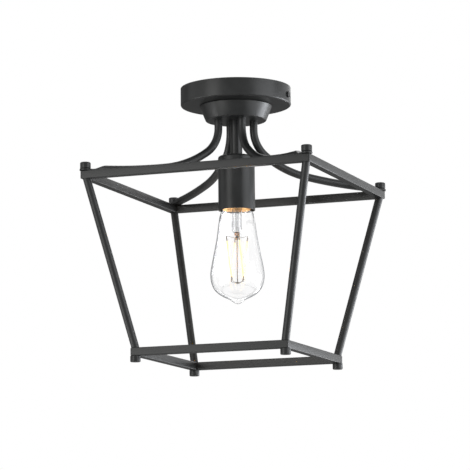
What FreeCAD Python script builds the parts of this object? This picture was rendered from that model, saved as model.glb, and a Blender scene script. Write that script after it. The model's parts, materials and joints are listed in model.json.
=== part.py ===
import FreeCAD, Part
import math
import os
from FreeCAD import Vector

# Porch ceiling lantern: an open cage of square and round black bars, hung close
# under a round ceiling pan, with one clear bulb. Millimetres. The origin is the
# centre of the pan's rim, which lies on the ceiling. +Z is up, -Y is the front.

# ---- driving dimensions -------------------------------------------------------

canopy_radius = 60.0
canopy_height = 19.7
canopy_wall = 1.2
canopy_edge_radius = 1.8
side_screw_z = -11.5            # the two screws through the rim
side_screw_head_radius = 3.3
side_screw_head_height = 1.9
side_screw_radius = 1.9
side_screw_length = 9.0
side_hole_radius = 2.2

collar_top_radius = 39.6        # the collar's rim touches the canopy
collar_rim_radius = 1.3         # rounding of its upper edge
collar_lip_width = 4.0          # of the rim, which is turned inwards
collar_bottom_radius = 32.8
collar_bottom_z = -36.1
collar_wall = 1.4
collar_floor = 2.0
collar_edge_radius = 1.3

bar_size = 8.6                  # square bars of both frames
bar_edge_radius = 0.8
top_frame_half = 128.0          # half of the outer width
top_frame_z = -102.4            # upper face of the top frame
bottom_frame_half = 88.3
bottom_frame_z = -288.0         # upper face of the bottom frame
frame_corner_radius = 1.4

leg_radius = 4.2
leg_top_inset = 1.2             # of the leg's upper end from the middle of the bars

arm_radius = 4.3
arm_stand_off = 20.0            # from the axis, where the arm leaves the collar
arm_turn = 0.8                  # of each arm's plane about its corner stud, in degrees
arm_straight_end_z = -45.0
arm_bends = [(34.0, 54.0), (111.0, 81.0), (610.0, 87.5)]   # radius, heading after it
arm_tab_thickness = 2.0
arm_tab_width = 11.6
arm_tab_start = 169.0           # distance from the axis along the diagonal
arm_tab_end = 181.2
arm_thread_radius = 3.0
arm_thread_length = 9.0
arm_hole_radius = 3.1           # in the collar's floor and in the nuts
arm_nut_flats = 9.0
arm_nut_height = 4.5
neck_middle = (11.5, 0.85, 5.3, 2.3)   # run, fall, half width, half height of the neck
neck_end = (0.3, 5.7, 1.25)     # rise over the tab's middle, half width, half height

corner_stud_radius = 2.0
corner_hole_radius = 2.15
cap_washer_thickness = 0.6
cap_washer_radius = 4.7
cap_nut_radius = 5.65
cap_nut_height = 6.6
foot_nut_radius = 5.5
foot_nut_height = 6.5
nut_bore_depth = 5.0

pipe_radius = 4.9
pipe_bore_radius = 3.75
pipe_top_z = -10.0
pipe_bottom_z = -85.5
pipe_hole_radius = 5.0
sleeve_radius = 6.65
pipe_nut_flats = 14.0
canopy_nut_height = 4.0
cup_nut_height = 3.8
lock_washer_radius = 8.5
lock_washer_thickness = 1.0
bush_radius = 8.0

cup_radius = 19.9
cup_wall = 1.2
cup_top_z = -75.0
cup_bottom_z = -134.6
cup_shoulder_radius = 2.6

bracket_plate_z = -86.0         # lower face of the socket bracket
bracket_thickness = 1.5
bracket_radius = 14.5
hub_clearance = 4.0             # of the bracket's hub under the cup's ceiling
bracket_hub_radius = 7.5
socket_radius = 16.5
socket_bottom_z = -121.0
socket_seat_z = -99.0           # ceiling of the bore that takes the screw shell
contact_cavity_z = -92.0        # ceiling of the cavity over the bulb's tip
contact_cavity_radius = 11.4
contact_hinge_z = -92.45        # bend line of the centre contact
contact_hinge_x = -5.0
socket_screw_offset = 10.6
terminal_offset = 9.8
recess_depth = 4.0

socket_screw_radius = 1.5
socket_screw_head_radius = 2.7
terminal_screw_radius = 1.4
terminal_head_radius = 2.6
small_head_height = 1.8
screw_slot_half_width = 0.35
screw_slot_depth = 0.8

thread_pitch = 25.4 / 7         # seven turns to the inch
thread_depth = 0.8
shell_inner_radius = 13.35      # crests of the socket's shell
shell_wall = 0.4
base_radius = 13.05             # crests of the bulb's base

bulb_base_bottom_z = -122.5
bulb_base_top_z = -100.0
bulb_contact_z = -96.1          # highest point of the bulb
bulb_wall = 0.8
bulb_stem_radius = 5.5
bulb_stem_end_z = -159.5        # where the tube narrows to the pinched seal
bulb_pinch_radius = 2.9
bulb_pinch_z = -162.4
bulb_rod_bottom_z = -213.6
bulb_skirt_height = 3.0         # plain band at the foot of the screw base
bulb_base_wall = 0.45
bulb_lid_thickness = 0.5
bulb_lid_bore = 9.5
insulator_radius = 10.2
button_radius = 4.4
button_height = 1.1
stem_flare_z = -127.0
thin_tube_radius = 1.75
thin_tube_bore = 1.2

# Outline of the glass below the cup, then of its neck: radius and height.
glass_points = [(17.2, -136.0), (21.6, -161.5), (25.8, -184.0), (28.3, -197.0), (29.2, -204.5),
                (28.4, -212.5), (25.3, -220.2), (18.2, -226.9), (11.2, -230.5), (7.2, -232.6),
                (4.6, -234.7), (2.4, -236.0), (0.0, -236.5)]
glass_neck = [(11.6, -112.0), (11.6, -122.6), (13.0, -124.5)]
glass_start_slope = 0.173       # radius gained for each unit of height where the cup ends

filament_count = 4
filament_top_bearing = 34.0     # of the first stick's upper end, in degrees about the axis
filament_twist = 32.0           # from a stick's upper end to its lower end
filament_top_reach = 11.2
filament_bottom_reach = 8.9
filament_top_z = -168.3
filament_bottom_z = -207.5
filament_radius = 0.9
top_clip_length = 5.6
bottom_clip_length = 4.0
clip_radius = 0.75
bead_radius = 2.1
bead_drop = 2.3                 # of the bead's centre below the pinched seal
hub_radius = 2.5
hub_half_height = 0.8
core_radius = 0.6
fine_wire_radius = 0.3

crossbar_width = 18.0
crossbar_thickness = 2.0
crossbar_reach = 57.3           # outer faces of its two ears
crossbar_ear_drop = 15.0
slot_spacing = 79.4             # takes box screws from 62 to 96 apart
slot_length = 22.0
slot_radius = 2.4
crossbar_ear_half_width = 7.0
crossbar_screw_hole_radius = 2.05

earth_screw_radius = 1.7
earth_hole_radius = 1.8
earth_head_radius = 3.4
earth_head_height = 2.0
crossbar_earth_x = 18.0
canopy_earth_x = 32.0

wire_radius = 1.0
wire_offset = 1.5               # of each lead from the pipe's axis
lead_bend_radii = [2.2, 3.4, 14.0, 14.0]
lead_connector_point = (17.5, -34.0, -11.4)
connector_length = 16.0
connector_wide_radius = 4.6
connector_narrow_radius = 2.8
earth_wire_radius = 0.8
earth_wire_bend = 4.8

corner_signs = [("front_left", -1, -1), ("front_right", 1, -1), ("back_right", 1, 1), ("back_left", -1, 1)]
side_turns = [("front", 0), ("right", 90), ("back", 180), ("left", 270)]

# ---- places worked out from them ------------------------------------------------

canopy_floor_z = -canopy_height + canopy_wall          # upper face of its floor
collar_top_z = -canopy_height
collar_floor_z = collar_bottom_z + collar_floor
top_frame_under_z = top_frame_z - bar_size
bottom_frame_under_z = bottom_frame_z - bar_size
top_corner = top_frame_half - bar_size / 2              # x and y of the corner holes
bottom_corner = bottom_frame_half - bar_size / 2
tab_top_z = top_frame_z + arm_tab_thickness
cap_nut_z = tab_top_z + cap_washer_thickness
foot_nut_bottom_z = bottom_frame_under_z - foot_nut_height
corner_distance = top_corner * math.sqrt(2)
stud_to_stand = corner_distance - arm_stand_off         # along the arm, from its stud to the collar
stand_x = corner_distance - stud_to_stand * math.cos(math.radians(arm_turn))
stand_y = -stud_to_stand * math.sin(math.radians(arm_turn))
arm_hole_distance = math.hypot(stand_x, stand_y)        # of the arms' holes in the collar from the axis
arm_hole_lag = math.atan2(stand_y, stand_x)             # of each hole behind its corner's diagonal
recess_floor_z = bracket_plate_z - recess_depth
bracket_top_z = bracket_plate_z + bracket_thickness
cup_ceiling_z = cup_top_z - cup_wall
bead_z = bulb_pinch_z - bead_drop

os.makedirs("parts", exist_ok=True)


# ---- small helpers ---------------------------------------------------------------

def rod(radius, z_low, z_high, x=0.0, y=0.0):
    """Upright cylinder."""
    return Part.makeCylinder(radius, z_high - z_low, Vector(x, y, z_low))


def ring(radius, bore, z_low, z_high, x=0.0, y=0.0):
    """Upright cylinder with a round hole right through."""
    return rod(radius, z_low, z_high, x, y).cut(rod(bore, z_low - 1, z_high + 1, x, y))


def block(x_low, x_high, y_low, y_high, z_low, z_high):
    """Box between two corners."""
    return Part.makeBox(x_high - x_low, y_high - y_low, z_high - z_low, Vector(x_low, y_low, z_low))


def along(start, end, radius):
    """Round bar between two points."""
    start = Vector(*start)
    run = Vector(*end) - start
    return Part.makeCylinder(radius, run.Length, start, run)


def hexagon(across_flats, bore, z_low, z_high, x=0.0, y=0.0):
    """Hexagon nut with a plain bore."""
    reach = across_flats / math.sqrt(3)
    corners = [Vector(x + reach * math.cos(math.radians(a)), y + reach * math.sin(math.radians(a)), z_low)
               for a in range(0, 361, 60)]
    body = Part.Face(Part.makePolygon(corners)).extrude(Vector(0, 0, z_high - z_low))
    return body.cut(rod(bore, z_low - 1, z_high + 1, x, y))


def lathe(edges):
    """Solid turned about Z from the edges of a closed outline in the XZ plane."""
    face = Part.Face(Part.Wire(edges))
    solid = face.revolve(Vector(0, 0, 0), Vector(0, 0, 1), 360)
    return solid if solid.Volume > 0 else solid.reversed()


def polyline(points):
    """Straight edges through (radius, z) points in the XZ plane."""
    corners = [Vector(r, 0, z) for r, z in points]
    return [Part.LineSegment(a, b).toShape() for a, b in zip(corners, corners[1:])]


def turned(points):
    """Solid turned about Z from a closed polygon of (radius, z) points."""
    return lathe(polyline(points + points[:1]))


def horizontal_circles(shape, z, radius=None):
    """Round edges of a shape that lie at one height."""
    found = []
    for edge in shape.Edges:
        if not isinstance(edge.Curve, Part.Circle) or abs(edge.CenterOfMass.z - z) > 0.01:
            continue
        if radius is None or abs(edge.Curve.Radius - radius) < 0.01:
            found.append(edge)
    return found


def tube_path(points, radii):
    """Wire of straight runs joined by tangent arcs, one radius for each inner point."""
    places = [Vector(*p) for p in points]
    edges = []
    last = places[0]
    for before, corner, after, radius in zip(places, places[1:], places[2:], radii):
        back = (before - corner).normalize()
        onward = (after - corner).normalize()
        half_turn = (math.pi - back.getAngle(onward)) / 2
        reach = radius * math.tan(half_turn)
        start = corner + back * reach
        end = corner + onward * reach
        inward = (back + onward).normalize()
        middle = corner + inward * (radius / math.cos(half_turn) - radius)
        edges.append(Part.LineSegment(last, start).toShape())
        edges.append(Part.Arc(start, middle, end).toShape())
        last = end
    edges.append(Part.LineSegment(last, places[-1]).toShape())
    return Part.Wire(edges)


def swept_tube(path, radius, name):
    """Round bar along a wire; its volume is compared with section times length."""
    first = path.Edges[0]
    start = first.valueAt(first.FirstParameter)
    heading = first.tangentAt(first.FirstParameter)
    section = Part.Wire(Part.makeCircle(radius, start, heading))
    solid = path.makePipeShell([section], True, False)
    print(name, "volume", round(solid.Volume, 1), "expected", round(math.pi * radius ** 2 * path.Length, 1))
    return solid


def group(solids):
    """Separate solids kept together in one node."""
    return Part.makeCompound(solids)


def at_corners(distance, make):
    """The same piece at the four corners of a square of the given half width."""
    return group([make(sx * distance, sy * distance) for _, sx, sy in corner_signs])


def arm_holes():
    """Places of the four arms' holes in the collar, each a little clockwise of its diagonal."""
    places = []
    for _, sx, sy in corner_signs:
        bearing = math.atan2(sy, sx) + arm_hole_lag
        places.append((arm_hole_distance * math.cos(bearing), arm_hole_distance * math.sin(bearing)))
    return places


# ---- ceiling end -------------------------------------------------------------------

def mounting_crossbar():
    """Flat steel strap against the ceiling box, with two ears bent down inside the canopy."""
    half_width = crossbar_width / 2
    strap = block(-crossbar_reach, crossbar_reach, -half_width, half_width, -crossbar_thickness, 0)
    for side in (-1, 1):
        outer = side * crossbar_reach
        inner = side * (crossbar_reach - crossbar_thickness)
        ear = block(min(outer, inner), max(outer, inner), -crossbar_ear_half_width, crossbar_ear_half_width,
                    -crossbar_ear_drop, 0)
        strap = strap.fuse(ear)
        centre = side * slot_spacing / 2
        straight = slot_length / 2 - slot_radius
        slot = block(centre - straight, centre + straight, -slot_radius, slot_radius, -5, 1)
        slot = slot.fuse(rod(slot_radius, -5, 1, centre - straight))
        slot = slot.fuse(rod(slot_radius, -5, 1, centre + straight))
        strap = strap.cut(slot)
    holes = along((-70, 0, side_screw_z), (70, 0, side_screw_z), crossbar_screw_hole_radius)
    holes = holes.fuse(rod(earth_hole_radius, -5, 1, crossbar_earth_x))
    return strap.cut(holes).removeSplitter()


def ground_screws():
    """Two small earth screws: one up into the crossbar, one down into the canopy's floor."""
    under_z = -crossbar_thickness
    upper = rod(earth_head_radius, under_z - earth_head_height, under_z, crossbar_earth_x)
    upper = upper.fuse(rod(earth_screw_radius, under_z, -0.2, crossbar_earth_x))
    lower = rod(earth_head_radius, canopy_floor_z, canopy_floor_z + earth_head_height, canopy_earth_x)
    lower = lower.fuse(rod(earth_screw_radius, -canopy_height + 0.1, canopy_floor_z, canopy_earth_x))
    return group([upper, lower])


def side_screws():
    """Pan head screws through the canopy's rim into the crossbar's ears."""
    screws = []
    for side in (-1, 1):
        rim_point = (side * canopy_radius, 0, side_screw_z)
        face_x = side * (canopy_radius + side_screw_head_height)
        head = along(rim_point, (face_x, 0, side_screw_z), side_screw_head_radius)
        outer_edge = [e for e in head.Edges if isinstance(e.Curve, Part.Circle)
                      and abs(e.CenterOfMass.x - face_x) < 0.01]
        head = head.makeFillet(0.9, outer_edge)
        slot = block(min(face_x, face_x - side), max(face_x, face_x - side),
                     -0.45, 0.45, side_screw_z - 4, side_screw_z + 4)
        inner_end = (side * (canopy_radius - side_screw_length), 0, side_screw_z)
        shank = along(rim_point, inner_end, side_screw_radius)
        screws.append(head.cut(slot).fuse(shank))
    return group(screws)


def canopy():
    """Shallow pan, open towards the ceiling, with a rounded lower edge."""
    outside = rod(canopy_radius, -canopy_height, 0)
    outside = outside.makeFillet(canopy_edge_radius, horizontal_circles(outside, -canopy_height))
    inside = rod(canopy_radius - canopy_wall, canopy_floor_z, 1)
    inner_edge_radius = canopy_edge_radius - canopy_wall / 2
    inside = inside.makeFillet(inner_edge_radius, horizontal_circles(inside, canopy_floor_z))
    pan = outside.cut(inside)
    pan = pan.cut(rod(pipe_hole_radius, -canopy_height - 1, 0))
    pan = pan.cut(rod(earth_hole_radius, -canopy_height - 1, canopy_floor_z + 1, canopy_earth_x))
    return pan.cut(along((-70, 0, side_screw_z), (70, 0, side_screw_z), side_hole_radius))


def threaded_pipe():
    """Hollow threaded rod on the axis that clamps the whole stack and carries the wires."""
    return ring(pipe_radius, pipe_bore_radius, pipe_bottom_z, pipe_top_z)


def canopy_lock_washer():
    return ring(lock_washer_radius, pipe_hole_radius, canopy_floor_z, canopy_floor_z + lock_washer_thickness)


def canopy_nut():
    low_z = canopy_floor_z + lock_washer_thickness
    return hexagon(pipe_nut_flats, pipe_hole_radius, low_z, low_z + canopy_nut_height)


def collar_bush():
    """Short tube round the pipe that takes the clamping load between canopy and collar."""
    return ring(bush_radius, pipe_hole_radius, collar_floor_z, -canopy_height)


# ---- collar and arms ------------------------------------------------------------------

def collar_cup():
    """Tapered cup with a turned-in, rounded rim and a flat floor that takes the four arms."""
    slope = (collar_top_radius - collar_bottom_radius) / (collar_top_z - collar_bottom_z)
    floor_radius = collar_bottom_radius + slope * collar_floor - collar_wall
    lip_radius = collar_top_radius - collar_lip_width
    lip_under_z = collar_top_z - collar_wall
    wall_top_radius = collar_top_radius - slope * collar_wall - collar_wall
    outline = [(pipe_hole_radius, collar_bottom_z), (collar_bottom_radius, collar_bottom_z),
               (collar_top_radius, collar_top_z), (lip_radius, collar_top_z), (lip_radius, lip_under_z),
               (wall_top_radius, lip_under_z), (floor_radius, collar_floor_z),
               (pipe_hole_radius, collar_floor_z)]
    cup = turned(outline)
    cup = cup.makeFillet(collar_edge_radius, horizontal_circles(cup, collar_bottom_z, collar_bottom_radius))
    cup = cup.makeFillet(collar_rim_radius, horizontal_circles(cup, collar_top_z, collar_top_radius))
    for x, y in arm_holes():
        cup = cup.cut(rod(arm_hole_radius, collar_bottom_z - 1, collar_floor_z + 1, x, y))
    return cup


def arm_nuts():
    """Hexagon nuts inside the collar that hold the arms."""
    low_z = collar_floor_z
    top_z = low_z + arm_nut_height
    return group([hexagon(arm_nut_flats, arm_hole_radius, low_z, top_z, x, y) for x, y in arm_holes()])


def arm_centre_line():
    """Centre line of an arm in its own upright plane, as edges and the last point."""
    x = arm_stand_off
    z = arm_straight_end_z
    heading = 0.0
    edges = [Part.LineSegment(Vector(x, 0, collar_bottom_z), Vector(x, 0, z)).toShape()]
    for radius, new_heading in arm_bends:
        points = []
        for angle in (heading, (heading + new_heading) / 2, new_heading):
            turn = math.radians(angle)
            start = math.radians(heading)
            points.append(Vector(x + radius * (math.cos(start) - math.cos(turn)), 0,
                                 z - radius * (math.sin(turn) - math.sin(start))))
        edges.append(Part.Arc(*points).toShape())
        x, z = points[-1].x, points[-1].z
        heading = new_heading
    return edges, x, z


def upright_oval(x, z, half_width, half_height):
    """Oval outline, wider than high, in an upright plane square to X."""
    oval = Part.Ellipse(Vector(x, half_width, z), Vector(x, 0, z + half_height), Vector(x, 0, z))
    return Part.Wire(oval.toShape())


def arm():
    """One arm: threaded end, round bent bar, beaten flat into a tab with a hole."""
    edges, end_x, end_z = arm_centre_line()
    bar = swept_tube(Part.Wire(edges), arm_radius, "arm")
    thread = rod(arm_thread_radius, collar_bottom_z - 0.5, collar_bottom_z + arm_thread_length, arm_stand_off)
    tab_middle_z = (tab_top_z + top_frame_z) / 2
    run, fall, middle_width, middle_height = neck_middle
    rise, end_width, end_height = neck_end
    turn = math.radians(arm_bends[-1][1])
    heading = Vector(math.sin(turn), 0, -math.cos(turn))
    bar_end = Part.Circle(Vector(end_x, 0, end_z), heading, arm_radius)
    sections = [Part.Wire(bar_end.toShape()),
                upright_oval(end_x + run, end_z - fall, middle_width, middle_height),
                upright_oval(arm_tab_start, tab_middle_z + rise, end_width, end_height)]
    neck = Part.makeLoft(sections, True)
    half_width = arm_tab_width / 2
    round_x = arm_tab_end - half_width
    tab = block(arm_tab_start - 2.5, round_x, -half_width, half_width, top_frame_z, tab_top_z)
    tab = tab.fuse(rod(half_width, top_frame_z, tab_top_z, round_x))
    whole = bar.fuse([thread, neck, tab]).removeSplitter()
    whole = whole.cut(rod(corner_hole_radius, top_frame_z - 5, tab_top_z + 5, corner_distance))
    whole.rotate(Vector(corner_distance, 0, 0), Vector(0, 0, 1), arm_turn)
    whole.rotate(Vector(0, 0, 0), Vector(0, 0, 1), -135)
    return whole


def stem_sleeve():
    """Plain tube between the collar and the socket cup, round the threaded pipe."""
    return ring(sleeve_radius, pipe_hole_radius, cup_top_z, collar_bottom_z)


# ---- cage --------------------------------------------------------------------------------

def rail(half, top_z):
    """Front bar of a square frame, mitred at both ends, with half of each corner hole."""
    inner = half - bar_size
    outline = [(-half, -half), (half, -half), (inner, -inner), (-inner, -inner), (-half, -half)]
    face = Part.Face(Part.makePolygon([Vector(x, y, top_z - bar_size) for x, y in outline]))
    bar = face.extrude(Vector(0, 0, bar_size))
    long_edges = [e for e in bar.Edges if e.BoundBox.XLength > inner and e.BoundBox.YLength < 0.01]
    bar = bar.makeFillet(bar_edge_radius, long_edges)
    frame = block(-half, half, -half, half, top_z - bar_size, top_z)
    upright = [e for e in frame.Edges if e.BoundBox.ZLength > bar_size / 2]
    bar = bar.common(frame.makeFillet(frame_corner_radius, upright))
    hole = half - bar_size / 2
    for side in (-1, 1):
        bar = bar.cut(rod(corner_hole_radius, top_z - bar_size - 1, top_z + 1, side * hole, -hole))
    return bar


def leg(sx, sy):
    """Leaning round bar, cut level where it meets the two frames."""
    top = Vector(sx * (top_corner - leg_top_inset), sy * (top_corner - leg_top_inset), top_frame_under_z)
    bottom = Vector(sx * bottom_corner, sy * bottom_corner, bottom_frame_z)
    run = (top - bottom).normalize()
    start = bottom - run * 5
    end = top + run * 5
    bar = Part.makeCylinder(leg_radius, (end - start).Length, start, run)
    reach = top_frame_half
    return bar.common(block(-reach, reach, -reach, reach, bottom_frame_z, top_frame_under_z))


def corner_stud(x, y):
    return rod(corner_stud_radius, top_frame_under_z, cap_nut_z + nut_bore_depth - 0.5, x, y)


def foot_stud(x, y):
    return rod(corner_stud_radius, bottom_frame_under_z - nut_bore_depth + 0.5, bottom_frame_z, x, y)


def cap_washer(x, y):
    return ring(cap_washer_radius, corner_hole_radius, tab_top_z, cap_nut_z, x, y)


def cap_nut(x, y):
    """Round cap nut with softened edges and a blind bore from below."""
    body = rod(cap_nut_radius, cap_nut_z, cap_nut_z + cap_nut_height, x, y)
    body = body.makeFillet(1.2, horizontal_circles(body, cap_nut_z + cap_nut_height))
    body = body.makeFillet(0.5, horizontal_circles(body, cap_nut_z))
    return body.cut(rod(corner_stud_radius + 0.05, cap_nut_z - 1, cap_nut_z + nut_bore_depth, x, y))


def foot_nut(x, y):
    """Round foot with a softened lower edge and a blind bore from above."""
    body = rod(foot_nut_radius, foot_nut_bottom_z, bottom_frame_under_z, x, y)
    body = body.makeFillet(0.9, horizontal_circles(body, foot_nut_bottom_z))
    bore_end_z = bottom_frame_under_z - nut_bore_depth
    bore = rod(corner_stud_radius + 0.05, bore_end_z, bottom_frame_under_z + 1, x, y)
    return body.cut(bore)


# ---- socket ------------------------------------------------------------------------------

def socket_cup():
    """Plain cylinder round the lamp holder, open below, with a soft upper shoulder."""
    outside = rod(cup_radius, cup_bottom_z, cup_top_z)
    outside = outside.makeFillet(cup_shoulder_radius, horizontal_circles(outside, cup_top_z))
    outside = outside.makeFillet(0.4, horizontal_circles(outside, cup_bottom_z))
    inside = rod(cup_radius - cup_wall, cup_bottom_z - 1, cup_ceiling_z)
    inside = inside.makeFillet(cup_shoulder_radius - cup_wall, horizontal_circles(inside, cup_ceiling_z))
    return outside.cut(inside).cut(rod(pipe_hole_radius, cup_top_z - 5, cup_top_z + 1))


def cup_nut():
    return hexagon(pipe_nut_flats, pipe_hole_radius, cup_ceiling_z - cup_nut_height, cup_ceiling_z)


def socket_bracket():
    """Threaded hub on the pipe's lower end, with a round plate that carries the socket."""
    hub_top_z = cup_ceiling_z - hub_clearance
    bracket = rod(bracket_hub_radius, bracket_top_z, hub_top_z)
    bracket = bracket.fuse(rod(bracket_radius, bracket_plate_z, bracket_top_z))
    bracket = bracket.cut(rod(pipe_hole_radius, bracket_plate_z - 1, hub_top_z + 1))
    hole_radius = socket_screw_radius + 0.15
    for side in (-1, 1):
        hole = rod(hole_radius, bracket_plate_z - 1, bracket_top_z + 1, 0, side * socket_screw_offset)
        bracket = bracket.cut(hole)
    return bracket.removeSplitter()


def slotted_screw(x, y, head_radius, head_z, shank_radius, shank_end_z):
    """Small round-head screw pointing down, with a slot across its head along X."""
    head_top_z = head_z + small_head_height
    head = rod(head_radius, head_z, head_top_z, x, y)
    head = head.cut(block(x - 4, x + 4, y - screw_slot_half_width, y + screw_slot_half_width,
                          head_top_z - screw_slot_depth, head_top_z + 1))
    return head.fuse(rod(shank_radius, shank_end_z, head_z, x, y))


def socket_screws():
    """Two screws that hold the socket body up against the bracket."""
    end_z = bracket_plate_z - 5.5
    return group([slotted_screw(0, side * socket_screw_offset, socket_screw_head_radius, bracket_top_z,
                                socket_screw_radius, end_z) for side in (-1, 1)])


def socket_body():
    """Ceramic lamp holder: bore for the screw shell, contact cavity, wiring recess."""
    body = rod(socket_radius, socket_bottom_z, bracket_plate_z)
    body = body.makeFillet(1.0, horizontal_circles(body, socket_bottom_z))
    bore_radius = shell_inner_radius + thread_depth + shell_wall + 0.1
    body = body.cut(rod(bore_radius, socket_bottom_z - 1, socket_seat_z))
    body = body.cut(rod(contact_cavity_radius, socket_seat_z - 1, contact_cavity_z))
    body = body.cut(block(-13.2, 13.2, -4.5, 4.5, recess_floor_z, bracket_plate_z + 1))
    screw_hole = socket_screw_radius + 0.05
    terminal_hole = terminal_screw_radius + 0.05
    low_z = bracket_plate_z - 6
    for side in (-1, 1):
        body = body.cut(rod(screw_hole, low_z, bracket_plate_z + 1, 0, side * socket_screw_offset))
        body = body.cut(rod(terminal_hole, contact_cavity_z - 1, bracket_plate_z, side * terminal_offset))
    return body


def terminal_screws():
    """Brass screws in the wiring recess, one for each lead."""
    end_z = contact_cavity_z + 0.1
    return group([slotted_screw(side * terminal_offset, 0, terminal_head_radius, recess_floor_z,
                                terminal_screw_radius, end_z) for side in (-1, 1)])


def wavy_wall(crest, outward_wall, z_low, z_high):
    """Outline of a thin tube whose wall is rolled into thread waves, crest inwards or outwards."""
    waves = int(round((z_high - z_low) / thread_pitch))
    pitch = (z_high - z_low) / waves
    side = 1 if outward_wall > 0 else -1
    near = []
    for i in range(waves):
        z = z_low + i * pitch
        near.append((crest, z))
        near.append((crest + side * thread_depth, z + pitch / 2))
    near.append((crest, z_high))
    far = [(r + outward_wall, z) for r, z in reversed(near)]
    return near + far


def screw_shell():
    """Thin brass shell in the socket. Its waves stand for the thread's turns."""
    return turned(wavy_wall(shell_inner_radius, shell_wall, socket_bottom_z + 0.5, socket_seat_z))


def contact_foot():
    """Riveted foot that holds the centre contact to the ceiling of its cavity."""
    foot = block(-9.2, -5.4, -2.2, 2.2, contact_cavity_z - 0.5, contact_cavity_z)
    return foot.fuse(rod(1.2, contact_cavity_z - 1.1, contact_cavity_z - 0.5, -7.3))


def contact_leaf():
    """Springy tongue whose nose rests just over the bulb's tip."""
    nose_z = bulb_contact_z + 0.3
    thickness = 0.45
    spine = [(contact_hinge_x, contact_hinge_z - thickness / 2), (-1.6, nose_z), (2.4, nose_z),
             (3.4, nose_z + 0.5)]
    upper = [(x - 0.12, z + thickness) for x, z in reversed(spine)]
    points = [Vector(x, -2.0, z) for x, z in spine + upper + spine[:1]]
    return Part.Face(Part.makePolygon(points)).extrude(Vector(0, 4.0, 0))


# ---- wiring ----------------------------------------------------------------------------------

def lead_wire(side, name):
    """Insulated lead from its connector in the canopy, down the pipe, to its terminal."""
    bottom_z = bracket_plate_z - 2.4
    end_x, end_y, end_z = lead_connector_point
    route = [(side * 7.0, 0, bottom_z), (side * wire_offset, 0, bottom_z), (side * wire_offset, 0, -5.6),
             (side * 8.0, -16, -5.6), (side * 14.0, -27, end_z), (side * end_x, end_y, end_z)]
    return swept_tube(tube_path(route, lead_bend_radii), wire_radius, name)


def wire_connectors():
    """Two plastic twist-on cones over the leads' ends."""
    cones = []
    end_x, end_y, end_z = lead_connector_point
    for side in (-1, 1):
        start = Vector(side * end_x, end_y, end_z)
        run = Vector(side * 3.5, -7, 0).normalize()
        mouth = start - run * 2
        cone = Part.makeCone(connector_wide_radius, connector_narrow_radius, connector_length, mouth, run)
        bore = Part.makeCylinder(wire_radius + 0.1, connector_length - 4, start - run * 3, run)
        cones.append(cone.cut(bore))
    return group(cones)


def ground_wire():
    """Bare earth wire looped from the crossbar's screw to the canopy's screw."""
    high_z = -crossbar_thickness - earth_head_height - earth_wire_radius - 0.1
    low_z = canopy_floor_z + earth_head_height + earth_wire_radius + 0.1
    loop_x = canopy_earth_x + 10
    route = [(crossbar_earth_x + 2, 0, high_z), (loop_x, 0, high_z), (loop_x, 0, low_z),
             (canopy_earth_x - 2, 0, low_z)]
    return swept_tube(tube_path(route, [earth_wire_bend] * 2), earth_wire_radius, "ground_wire")


# ---- bulb --------------------------------------------------------------------------------------

def glass_edges(wall):
    """Outer outline of the glass, or the inner one, set in by the wall."""
    shifted = []
    for i, (r, z) in enumerate(glass_points):
        r0, z0 = glass_points[max(i - 1, 0)]
        r1, z1 = glass_points[min(i + 1, len(glass_points) - 1)]
        length = math.hypot(r1 - r0, z1 - z0)
        shifted.append(Vector(max(r + wall * (z1 - z0) / length, 0), 0, z - wall * (r1 - r0) / length))
    shifted[-1] = Vector(0, 0, glass_points[-1][1] + wall)
    curve = Part.BSplineCurve()
    down_the_side = Vector(glass_start_slope, 0, -1)
    curve.interpolate(shifted, InitialTangent=down_the_side, FinalTangent=Vector(-1, 0, 0))
    neck = polyline([(r - wall, z) for r, z in glass_neck])
    joined = Part.LineSegment(Vector(glass_neck[-1][0] - wall, 0, glass_neck[-1][1]), shifted[0]).toShape()
    return neck + [joined, curve.toShape()]


def bulb_glass():
    """Clear pear-shaped envelope with a small pointed tip, open at the neck."""
    outer = glass_edges(0.0)
    inner = glass_edges(bulb_wall)
    top_z = glass_neck[0][1]
    tip_z = glass_points[-1][1]
    rim = Part.LineSegment(Vector(glass_neck[0][0], 0, top_z), Vector(glass_neck[0][0] - bulb_wall, 0, top_z))
    tip = Part.LineSegment(Vector(0, 0, tip_z), Vector(0, 0, tip_z + bulb_wall))
    edges = Part.sortEdges(outer + inner + [rim.toShape(), tip.toShape()])[0]
    return lathe(edges)


def bulb_screw_base():
    """Thin metal base with rolled thread waves, closed to a ring at the top."""
    skirt_top_z = bulb_base_bottom_z + bulb_skirt_height
    shell = turned(wavy_wall(base_radius, -bulb_base_wall, skirt_top_z, bulb_base_top_z))
    skirt = ring(base_radius, base_radius - bulb_base_wall, bulb_base_bottom_z, skirt_top_z)
    lid = ring(base_radius, bulb_lid_bore, bulb_base_top_z, bulb_base_top_z + bulb_lid_thickness)
    return shell.fuse([skirt, lid]).removeSplitter()


def bulb_insulator():
    """Dark glass cone between the base and the tip contact."""
    bottom_z = bulb_base_top_z + bulb_lid_thickness
    top_z = bulb_contact_z - button_height
    return turned([(0, bottom_z), (insulator_radius, bottom_z), (button_radius + 0.8, top_z), (0, top_z)])


def bulb_tip_contact():
    """Solder button at the very top of the bulb."""
    button = rod(button_radius, bulb_contact_z - button_height, bulb_contact_z)
    return button.makeFillet(0.7, horizontal_circles(button, bulb_contact_z))


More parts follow.
